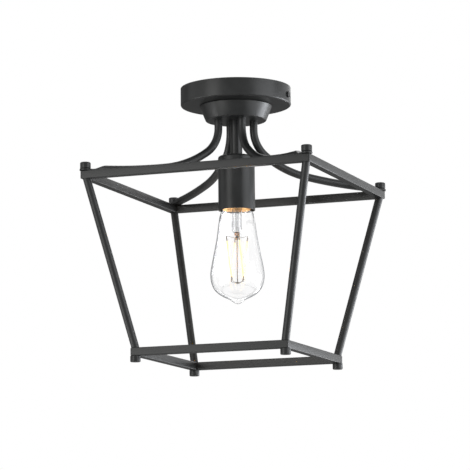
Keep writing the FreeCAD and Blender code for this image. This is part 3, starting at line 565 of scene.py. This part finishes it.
def arm_grid(bearing, columns=48):
    """Section carried along the arm: half width across, half height in its plane, superellipse power.

    A section point is (wide |cos a|^(2/power), high |sin a|^(2/power)) with the signs of cos and
    sin. The arm's plane is turned by a small angle about the corner stud, as the photograph shows.
    """
    neck = np.linspace(0, 1, 15)[1:]
    ease = neck * neck * (3 - 2 * neck)
    neck_out = arm_out[-1] + (neck_end_mm - arm_out[-1]) * neck
    low = arm_height[-1] - arm_mm
    neck_low = low + (tab_middle_z - tab_half_thick - low) * ease
    neck_half = arm_mm + (tab_half_thick - arm_mm) * ease
    tip = np.sin(np.linspace(0, np.pi / 2, 13))
    tab_out = np.concatenate([[tab_start_mm], tab_end_mm - tab_half_mm + tab_half_mm * tip])
    bar, tab = len(arm_out), len(tab_out)
    out = np.concatenate([arm_out, neck_out, tab_out])
    height = np.concatenate([arm_height, neck_low + neck_half, np.full(tab, tab_middle_z)])
    heading = np.concatenate([arm_heading, np.full(len(neck) + tab, np.pi / 2)])
    wide = np.concatenate([np.full(bar, arm_mm), arm_mm + (tab_half_mm - arm_mm) * ease,
                           [tab_half_mm], tab_half_mm * np.sqrt(1 - tip ** 2)])
    high = np.concatenate([np.full(bar, arm_mm), neck_half, np.full(tab, tab_half_thick)])
    power = np.concatenate([np.full(bar, 2.0), 2.0 + 4.0 * ease, np.full(tab, 6.0)])[:, None]
    angle = np.linspace(0, 2 * np.pi, columns, endpoint=False)[None, :]
    c, s = np.cos(angle), np.sin(angle)
    across = wide[:, None] * np.sign(c) * np.abs(c) ** (2 / power)
    over = high[:, None] * np.sign(s) * np.abs(s) ** (2 / power)
    u = out[:, None] + over * np.cos(heading)[:, None] - stud_mm
    z = height[:, None] + over * np.sin(heading)[:, None]
    plane = bearing + math.radians(arm_turn)
    x = stud_mm * np.cos(bearing) + u * np.cos(plane) - across * np.sin(plane)
    y = stud_mm * np.sin(bearing) + u * np.sin(plane) + across * np.cos(plane)
    grid = np.stack([x, y, z], axis=-1)
    cap = np.repeat(grid[:1].mean(axis=1, keepdims=True), columns, axis=1)
    return np.concatenate([cap, grid]) * MM


for corner, (sx, sy) in corner_signs.items():
    painted("bent_arm_" + corner, [arm_grid(math.atan2(sy, sx))], ["arm_" + corner])

# %% [markdown]
# ## Nuts, washers and feet
# A round cap nut with softened edges stands on each corner of the upper frame, over a
# thin washer, and a round foot nut closes each corner below. All are turned.

# %% Corner hardware
def at_corners(profile, distance, columns=48):
    """The same turned shape at the four corners of a square."""
    return [turned(profile, columns, (sx * distance, sy * distance)) for sx, sy in corner_signs.values()]


cap_mm, cap_top_z = 5.65, -93.2
washer_top_z, washer_low_z = -99.8, -100.4
foot_nut_mm, foot_top_z, foot_low_z = 5.5, -296.6, -303.1
cap_profile = rounded([(0.0, cap_top_z), (cap_mm, cap_top_z), (cap_mm, washer_top_z),
                       (0.0, washer_top_z)], [1.2, 0.5], 7)
washer_profile = rounded([(3.4, washer_top_z), (4.7, washer_top_z), (4.7, washer_low_z),
                          (2.2, washer_low_z), (2.2, washer_top_z), (3.4, washer_top_z)],
                         [0.15, 0.0, 0.0, 0.0], 3)
foot_profile = rounded([(0.0, foot_top_z), (foot_nut_mm, foot_top_z), (foot_nut_mm, foot_low_z),
                        (0.0, foot_low_z)], [0.3, 0.9], 7)
painted("round_cap_nuts", at_corners(cap_profile, top_stud_mm), ["cap_nuts"])
painted("thin_washers", at_corners(washer_profile, top_stud_mm), ["cap_washers"])
painted("round_foot_nuts", at_corners(foot_profile, foot_mm), ["foot_nuts"])

# %% [markdown]
# ## The bulb's glass
# The envelope is blown in a mould: a narrow neck, a long cone, a round belly and a
# small rounded nipple where it was sealed. A smooth curve through measured points gives
# the outside. Such a curve has no corner and no sudden change of bend, which matters
# because glass shows every kink in its reflections. The inside is the same curve, set
# in by the wall, so light is bent twice, as in a real bulb.

# %% A smooth line through points
def smooth_line(points, start, end, steps=10):
    """Cubic curve through points whose slope and bend have no jump.

    The slopes m at the points solve, for each inner point with runs a before and b after it,
    b m0 + 2 (a + b) m1 + a m2 = 3 (b d0 + a d1), where d0 and d1 are the steps divided by their
    runs. Between two points the curve is the usual cubic that has those ends and slopes.
    """
    p = np.asarray(points, float)
    run = np.linalg.norm(np.diff(p, axis=0), axis=1)
    step = np.diff(p, axis=0) / run[:, None]
    count = len(p)
    system = np.eye(count)
    known = np.zeros_like(p)
    known[0], known[-1] = start, end
    for i in range(1, count - 1):
        a, b = run[i - 1], run[i]
        system[i, i - 1:i + 2] = b, 2 * (a + b), a
        known[i] = 3 * (b * step[i - 1] + a * step[i])
    slope = np.linalg.solve(system, known)
    t = np.linspace(0, 1, steps, endpoint=False)[None, :, None]
    h = run[:, None, None]
    p0, p1, m0, m1 = p[:-1, None], p[1:, None], slope[:-1, None] * h, slope[1:, None] * h
    curve = (2 * t**3 - 3 * t**2 + 1) * p0 + (t**3 - 2 * t**2 + t) * m0
    curve = curve + (3 * t**2 - 2 * t**3) * p1 + (t**3 - t**2) * m1
    return np.concatenate([curve.reshape(-1, 2), p[-1:]])


def set_in(line, wall):
    """The line moved by the wall thickness along its own normal, towards the axis."""
    slope = np.gradient(line, axis=0)
    slope = slope / np.linalg.norm(slope, axis=1, keepdims=True)
    moved = line + wall * np.stack([slope[:, 1], -slope[:, 0]], axis=1)
    moved[-1] = (0.0, line[-1, 1] + wall)
    moved[:, 0] = np.maximum(moved[:, 0], 0.0)
    return moved


glass_wall_mm = 0.8
glass_crease_degrees = 80.0
down, inwards = (0.0, -1.0), (-1.0, 0.0)
glass_points = [(11.6, -112.0), (11.6, -117.0), (11.65, -122.0), (12.9, -126.5), (15.2, -131.0),
                (17.2, -136.0), (21.6, -161.5), (25.8, -184.0), (28.3, -197.0), (29.2, -204.5),
                (28.4, -212.5), (25.3, -220.2), (18.2, -226.9), (11.2, -230.5), (7.2, -232.6),
                (4.6, -234.7), (2.4, -236.0), (0.0, -236.5)]
outer_line = smooth_line(glass_points, down, inwards)
inner_line = set_in(outer_line, glass_wall_mm)
print("glass profile has", len(outer_line), "points; belly", round(outer_line[:, 0].max() * 2, 1), "mm wide")

# %% Envelope
envelope_profile = np.concatenate([outer_line, inner_line[::-1], outer_line[:1]])
envelope = make_piece("bulb_envelope", [turned(envelope_profile, 128)], clear_glass,
                      "bulb", ["bulb_glass"], sharp=glass_crease_degrees)
envelope.visible_shadow = False

# %% [markdown]
# Just above the cup's lip the photograph shows a warm golden band. It is as wide as the
# inside of the bulb's neck, and the gap on both sides of it is dark, so it seems to
# belong to the bulb. What makes it there can't be seen. Here the faces on the inside of
# the neck get a thin gold lustre, which sends the sticks' light down to the eye.

# %% Gold lining of the neck
lining_low_z, lining_high_z = -133.6, -124.0
centres = np.zeros(len(envelope.data.polygons) * 3)
envelope.data.polygons.foreach_get("center", centres)
centres = centres.reshape(-1, 3) / MM
outside = np.interp(centres[:, 2], outer_line[::-1, 1], outer_line[::-1, 0])
lining = np.hypot(centres[:, 0], centres[:, 1]) < outside - glass_wall_mm / 2
lining &= (centres[:, 2] > lining_low_z) & (centres[:, 2] < lining_high_z)
envelope.data.materials.append(gold_lustre)
envelope.data.polygons.foreach_set("material_index", lining.astype(int))
print("gold faces inside the neck", int(lining.sum()))

# %% [markdown]
# ## The stem and what it carries
# A glass tube stands in the neck, flared where it is fused to the envelope, with a
# thinner tube inside it. Its lower end is pinched flat while soft. A bead and a stiff
# centre wire hang from the pinch, and fine wires reach out from them to the metal
# ends of the four glowing sticks.

# %% Stem
stem_points = [(10.4, -113.2), (8.6, -118.5), (5.9, -124.0), (5.5, -130.0), (5.5, -145.0),
               (5.5, -155.5), (5.2, -157.6), (4.2, -158.9), (2.4, -159.5), (0.0, -159.6)]
stem_outer = smooth_line(stem_points, down, inwards, 8)
stem_inner = set_in(stem_outer, glass_wall_mm)
stem_grid = turned(np.concatenate([stem_outer, stem_inner[::-1], stem_outer[:1]]), 64)
tube_mm, tube_bore_mm, tube_top_z, tube_low_z = 1.75, 1.2, -118.0, -157.5
inner_tube = turned([(tube_mm, tube_top_z), (tube_mm, tube_low_z), (tube_bore_mm, tube_low_z),
                     (tube_bore_mm, tube_top_z), (tube_mm, tube_top_z)], 32)
stem = make_piece("bulb_stem", [stem_grid, inner_tube], stem_glass,
                  "bulb", ["bulb_stem_glass"], sharp=glass_crease_degrees)
stem.visible_shadow = False

# %% Pinched seal
seal_top_z, seal_low_z = -159.0, -162.4
seal_flatness = 0.62            # its thickness divided by its width
seal_profile = rounded([(0.0, seal_top_z), (3.1, seal_top_z), (2.8, seal_low_z), (0.0, seal_low_z)],
                       [0.9, 0.9], 5)
seal_grid = turned(seal_profile, 40)
seal_grid[..., 1] *= seal_flatness
make_piece("pinched_stem_seal", [seal_grid], seal_glass, "bulb", ["bulb_stem_glass"])


# %% Straight sticks and wires
def stick(start, end, radius_mm, columns=20, steps=5):
    """Round stick with half-ball ends.

    At r (1 - cos q) from each end its radius is r sin q, with q from 0 to a right angle.
    """
    start, end = np.asarray(start, float), np.asarray(end, float)
    length = np.linalg.norm(end - start)
    run = (end - start) / length
    helper = np.array([1.0, 0.0, 0.0]) if abs(run[0]) < 0.8 else np.array([0.0, 1.0, 0.0])
    across = np.cross(run, helper)
    across = across / np.linalg.norm(across)
    over = np.cross(run, across)
    q = np.linspace(0, np.pi / 2, steps)
    along = np.concatenate([radius_mm * (1 - np.cos(q)), length - radius_mm * (1 - np.cos(q[::-1]))])
    radius = radius_mm * np.concatenate([np.sin(q), np.sin(q[::-1])])
    angle = np.linspace(0, 2 * np.pi, columns, endpoint=False)
    circle = np.cos(angle)[:, None] * across + np.sin(angle)[:, None] * over
    return (start + along[:, None, None] * run + radius[:, None, None] * circle) * MM


def bearing_point(degrees, distance, height):
    """Point at a bearing, a distance from the axis and a height."""
    angle = math.radians(degrees)
    return np.array([distance * math.cos(angle), distance * math.sin(angle), height])


stick_mm = 0.9
stick_ends = [(bearing_point(34 + 90 * i, 11.2, -168.3), bearing_point(66 + 90 * i, 8.9, -207.5))
              for i in range(4)]
make_piece("glowing_sticks", [stick(top, low, stick_mm) for top, low in stick_ends], phosphor,
           "bulb", ["bulb_filaments"])

# %% Clips and fine wires
clip_mm, clip_overlap_mm, top_clip_mm, low_clip_mm = 0.7, 0.4, 5.6, 4.0
bead_z, ring_z = -164.7, -213.6
top_wire_mm, low_wire_mm = 0.22, 0.25
clips, fine_wires = [], []
for top, low in stick_ends:
    run = (top - low) / np.linalg.norm(top - low)
    clip_top, clip_low = top + top_clip_mm * run, low - low_clip_mm * run
    clips += [stick(top - clip_overlap_mm * run, clip_top, clip_mm),
              stick(low + clip_overlap_mm * run, clip_low, clip_mm)]
    fine_wires += [stick(clip_top * [0.17, 0.17, 0] + [0, 0, bead_z], clip_top, top_wire_mm, 10, 3),
                   stick(clip_low * [0.28, 0.28, 0] + [0, 0, ring_z], clip_low, low_wire_mm, 10, 3)]
make_piece("stick_clips", clips, nickel, "bulb", ["filament_clips"])
make_piece("fine_bulb_wires", fine_wires, nickel, "bulb", ["filament_wires"])

# %% Centre wire and bead
centre_mm, centre_top_z = 0.6, -158.0
ring_mm, ring_top_z, ring_low_z = 2.5, -212.8, -214.4
bead_mm = 2.1
rod_profile = rounded([(0.0, centre_top_z), (centre_mm, centre_top_z), (centre_mm, ring_top_z),
                       (ring_mm, ring_top_z), (ring_mm, ring_low_z), (0.0, ring_low_z)],
                      [0.0, 0.0, 0.4, 0.4], 4)
bead_angle = np.linspace(0, np.pi, 17)
bead_profile = np.stack([bead_mm * np.sin(bead_angle), bead_z + bead_mm * np.cos(bead_angle)], axis=1)
make_piece("bulb_centre_wire", [turned(rod_profile, 32), turned(bead_profile, 32)], nickel,
           "bulb", ["bulb_support_rod"])

# %% [markdown]
# ## Threads
# The bulb's base is thin brass with the thread rolled into it, so the thread is a
# wave that climbs as it goes round: seven turns to the inch. The socket's shell has
# the matching wave. The hollow pipe on the axis carries a finer thread. For all three
# the radius is a cosine of height and angle together, which makes a true helix.

# %% Rolled screw threads
inch_mm = 25.4
bulb_pitch_mm = inch_mm / 7
pipe_pitch_mm = inch_mm / 27


def rolled_thread(crest, depth, wall, low, high, pitch, columns=96, per_turn=12, fade=2.0):
    """Thin threaded tube that fades to plain at its ends.

    Its radius is crest - depth (1 - cos(2 pi z / pitch - angle)) / 2.
    """
    z = np.linspace(low, high, int((high - low) / pitch * per_turn) + 2)[:, None]
    angle = np.linspace(0, 2 * np.pi, columns, endpoint=False)[None, :]
    wave = (1 - np.cos(2 * np.pi * z / pitch - angle)) / 2
    ends = np.clip(np.minimum(z - low, high - z) / fade, 0, 1)
    near = crest - depth * wave * ends
    far = near - wall
    radius = np.concatenate([near, far[::-1], near[:1]])
    height = np.concatenate([z, z[::-1], z[:1]]) + 0 * angle
    return np.stack([radius * np.cos(angle), radius * np.sin(angle), height], axis=-1) * MM


base_mm, base_top_z, lid_top_z, lid_hole_mm = 13.05, -100.0, -99.5, 9.5
base_wall = rolled_thread(crest=base_mm, depth=0.8, wall=0.45, low=-122.5, high=base_top_z,
                          pitch=bulb_pitch_mm)
base_lid = turned([(12.0, lid_top_z), (base_mm, -99.9), (base_mm, base_top_z), (lid_hole_mm, base_top_z),
                   (lid_hole_mm, lid_top_z), (12.0, lid_top_z)], 96)
make_piece("bulb_threaded_base", [base_wall, base_lid], brass, "bulb", ["bulb_screw_base"])

shell_wall = rolled_thread(crest=14.55, depth=0.8, wall=0.4, low=-120.5, high=-99.0, pitch=bulb_pitch_mm)
make_piece("socket_threaded_shell", [shell_wall], brass, "lantern", ["screw_shell"])

pipe_wall = rolled_thread(crest=4.9, depth=0.3, wall=1.0, low=-85.5, high=-10.0, pitch=pipe_pitch_mm,
                          columns=40, per_turn=8, fade=0.5)
make_piece("threaded_stem_pipe", [pipe_wall], zinc, "lantern", ["threaded_pipe"])

# %% [markdown]
# ## Twist-on connectors
# Each wire joint inside the canopy wears a plastic cone with shallow ribs for the
# fingers. The rib is a cosine that goes round the cone, strongest in its lower half.

# %% Connectors
cone_mm, cone_taper_mm, cone_length_mm = 4.6, 1.8, 16.0
rib_count, rib_mm, bore_mm, bore_depth_mm = 12, 0.35, 1.1, 12.0


def ribbed_cone(side):
    """Cone that narrows evenly from its mouth to its closed end, with a bore for the wires.

    A rib takes rib height (1 - cos(rib count x angle)) / 2 off the radius between two crests.
    """
    start = np.array([side * 17.5, -34.0, -11.4])
    run = np.array([side * 3.5, -7.0, 0.0])
    run = run / np.linalg.norm(run)
    start = start - 2.0 * run
    across = np.array([-run[1], run[0], 0.0])
    share = np.linspace(0, 1, 25)[:, None]
    angle = np.linspace(0, 2 * np.pi, 96, endpoint=False)[None, :]
    ribs = rib_mm * (np.cos(rib_count * angle) - 1) / 2 * np.clip((0.85 - share) * 8, 0, 1)
    radius = cone_mm - cone_taper_mm * share + ribs
    along = cone_length_mm * share
    mouth = np.stack([[0.0], [bore_mm], [bore_mm]])
    radius = np.concatenate([mouth + 0 * angle, radius, 0 * angle])
    along = np.concatenate([[[bore_depth_mm]], [[bore_depth_mm]], [[0.0]], along, [[16.6]]])
    place = start + along[..., None] * run
    ring = np.cos(angle)[..., None] * across + np.sin(angle)[..., None] * np.array([0.0, 0.0, 1.0])
    return (place + radius[..., None] * ring) * MM


make_piece("twist_on_connectors", [ribbed_cone(-1), ribbed_cone(1)], orange_plastic,
           "lantern", ["wire_connectors"], sharp=50.0)

# %% [markdown]
# ## Parts that keep their CAD shape
# The bracket, nuts, screws, lamp holder and wires are already the right shape. They
# keep their CAD mesh and only get a better finish in their material slot.

# %% Dress the CAD nodes
finishes = {"zinc_plated_steel": zinc, "brass": brass, "green_screw": green_screw, "copper": copper,
            "white_porcelain": porcelain, "black_insulation": black_pvc, "white_insulation": white_pvc,
            "orange_plastic": orange_plastic, "black_glass": black_glass, "solder": solder,
            "nickel_wire": nickel, "black_powder_coat": black_coat}
dressed = 0
for part in frame["record"]["subparts"]:
    node = frame["nodes"][part["node"]]
    if not node.hide_render:
        node.material_slots[0].material = finishes[part["material_slot"]]
        dressed += 1
print("CAD nodes dressed", dressed)

# %% [markdown]
# ## Air, floor and lamps
# The room is a plain white studio. The world sends a moderate even light to matt
# surfaces, and shows as white to the camera and in gloss and glass. The pale floor is
# as far below as a porch floor. Nine tenths of what it shows is plain white, and one
# tenth is the lit floor with a trace of shadow. A large softbox on each side of the
# camera draws the soft upright bands on every round bar. Lower lamps on both sides
# light the tapered collar and the edges of the bars. A weak lamp low behind draws the
# thin line along the lower edge of the right-hand bars, and a larger one high behind
# lights the back.

# %% World
plain_white = (1.0, 1.0, 1.0, 1.0)
even_light = 0.55


def seen_directly(tree):
    """Gives 1 to the camera, in gloss and through glass, and 0 to the light on matt surfaces."""
    ray = add(tree, "ShaderNodeLightPath")
    seen = add(tree, "ShaderNodeMath", operation="MAXIMUM",
               links={0: ray.outputs["Is Camera Ray"], 1: ray.outputs["Is Glossy Ray"]})
    seen = add(tree, "ShaderNodeMath", operation="MAXIMUM",
               links={0: seen.outputs[0], 1: ray.outputs["Is Transmission Ray"]})
    return seen.outputs[0]


world = bpy.data.worlds.new("studio_air")
world.use_nodes = True
sky = world.node_tree
sky.nodes.clear()
strength = add(sky, "ShaderNodeMapRange", {"To Min": even_light, "To Max": 1.0},
               {"Value": seen_directly(sky)})
air = add(sky, "ShaderNodeBackground", {"Color": plain_white}, {"Strength": strength.outputs["Result"]})
add(sky, "ShaderNodeOutputWorld", links={"Surface": air.outputs["Background"]})
bpy.context.scene.world = world
print("world", world.name)

# %% Floor
white_share = 0.9
floor_material, tree = new_material("pale_studio_floor")
share = add(tree, "ShaderNodeMapRange", {"To Min": 0.0, "To Max": white_share},
            {"Value": seen_directly(tree)})
paper = add(tree, "ShaderNodeBsdfDiffuse", {"Color": linear("#f4f4f2")})
white = add(tree, "ShaderNodeEmission", {"Color": plain_white, "Strength": 1.0})
mixed = add(tree, "ShaderNodeMixShader", links={0: share.outputs["Result"], 1: paper.outputs["BSDF"],
                                                2: white.outputs["Emission"]})
finish(tree, mixed.outputs["Shader"])

floor_height, floor_reach = -2.7, 12.0
floor_mesh = bpy.data.meshes.new("studio_floor")
floor_mesh.from_pydata([(-floor_reach, -floor_reach, floor_height), (floor_reach, -floor_reach, floor_height),
                        (floor_reach, floor_reach, floor_height), (-floor_reach, floor_reach, floor_height)],
                       [], [(0, 1, 2, 3)])
floor_mesh.materials.append(floor_material)
floor = bpy.data.objects.new("studio_floor", floor_mesh)
bpy.context.scene.collection.objects.link(floor)
print("floor is", -floor_height, "m under the ceiling")


# %% Lamps
lamp_aim = Vector((0, 0, -0.16))


def softbox(name, bearing, elevation, distance, width, height, watts, colour):
    """Flat lamp facing the cage, at a bearing from the front (-Y, positive to the right) and an elevation.

    With bearing b and elevation e it stands along (sin b cos e, -cos b cos e, sin e).
    """
    lamp_data = bpy.data.lights.new(name, "AREA")
    lamp_data.shape = "RECTANGLE"
    lamp_data.size = width
    lamp_data.size_y = height
    lamp_data.energy = watts
    lamp_data.color = colour
    lamp = bpy.data.objects.new(name, lamp_data)
    b, e = math.radians(bearing), math.radians(elevation)
    outward = Vector((math.sin(b) * math.cos(e), -math.cos(b) * math.cos(e), math.sin(e)))
    lamp.location = lamp_aim + outward * distance
    lamp.rotation_euler = outward.to_track_quat("Z", "Y").to_euler()
    bpy.context.scene.collection.objects.link(lamp)


# bearing and elevation in degrees; distance, width and height in metres; watts; colour
softbox("right_softbox", 84, 0, 2.2, 1.9, 2.0, 42, (0.95, 0.97, 1.0))
softbox("left_softbox", -27, -3, 2.6, 1.2, 2.4, 32, (1.0, 1.0, 0.98))
softbox("low_left_softbox", -62, -28, 2.4, 1.0, 0.7, 22, (1.0, 1.0, 1.0))
softbox("low_right_softbox", 130, -12, 2.2, 1.3, 1.2, 54, (0.92, 0.95, 1.0))
softbox("edge_softbox", 168, -20, 2.4, 0.9, 0.5, 5, (0.97, 0.98, 1.0))
softbox("back_softbox", 190, 25, 2.4, 1.4, 1.0, 12, (1.0, 1.0, 1.0))

# %% [markdown]
# Behind and to the left of the lantern, out of the picture, stands a grey screen that
# is bent round it through a quarter of a circle. It is seen only in gloss, where it
# keeps the far edges of the round bars dark, as the dark side of a room does.

# %% Grey screen
screen_material, tree = new_material("grey_screen_cloth")
cloth = add(tree, "ShaderNodeEmission", {"Color": linear("#747474"), "Strength": 1.0})
finish(tree, cloth.outputs["Emission"])

screen_distance, screen_low_z, screen_height = 2.4, -1.6, 3.2
screen_bearing = np.radians(np.linspace(176, 265, 9))
posts = len(screen_bearing)
screen_foot = np.stack([screen_distance * np.sin(screen_bearing), -screen_distance * np.cos(screen_bearing),
                        0 * screen_bearing + screen_low_z], axis=1)
screen_mesh = bpy.data.meshes.new("grey_screen")
screen_mesh.from_pydata(np.concatenate([screen_foot, screen_foot + [0.0, 0.0, screen_height]]).tolist(), [],
                        [(i, i + 1, i + posts + 1, i + posts) for i in range(posts - 1)])
screen_mesh.materials.append(screen_material)
screen = bpy.data.objects.new("grey_screen", screen_mesh)
bpy.context.scene.collection.objects.link(screen)
screen.visible_camera = False
screen.visible_diffuse = False
screen.visible_transmission = False
screen.visible_shadow = False
print("grey screen", len(screen_mesh.polygons), "faces")

# %% [markdown]
# A weak warm lamp in the middle of the sticks adds to their light on the bulb's neck
# and on the lower edges of the frame. It is hidden from camera, gloss and glass.

# %% The bulb's own light
bulb_watts = 0.3
bulb_light_radius = 0.009
bulb_light_z = -0.186
bulb_light_data = bpy.data.lights.new("bulb_light", "POINT")
bulb_light_data.energy = bulb_watts
bulb_light_data.shadow_soft_size = bulb_light_radius
bulb_light_data.color = linear("#ffc27a")[:3]
bulb_light = bpy.data.objects.new("bulb_light", bulb_light_data)
bulb_light.location = (0.0, 0.0, bulb_light_z)
bulb_light.visible_camera = False
bulb_light.visible_glossy = False
bulb_light.visible_transmission = False
bpy.context.scene.collection.objects.link(bulb_light)
print("bulb light", bulb_watts, "W")

# %% [markdown]
# ## Finish
# The picture is shown with the plain Standard view, so that a colour comes out as it
# was written.

# %% View and the last line
bpy.context.scene.view_settings.view_transform = "Standard"
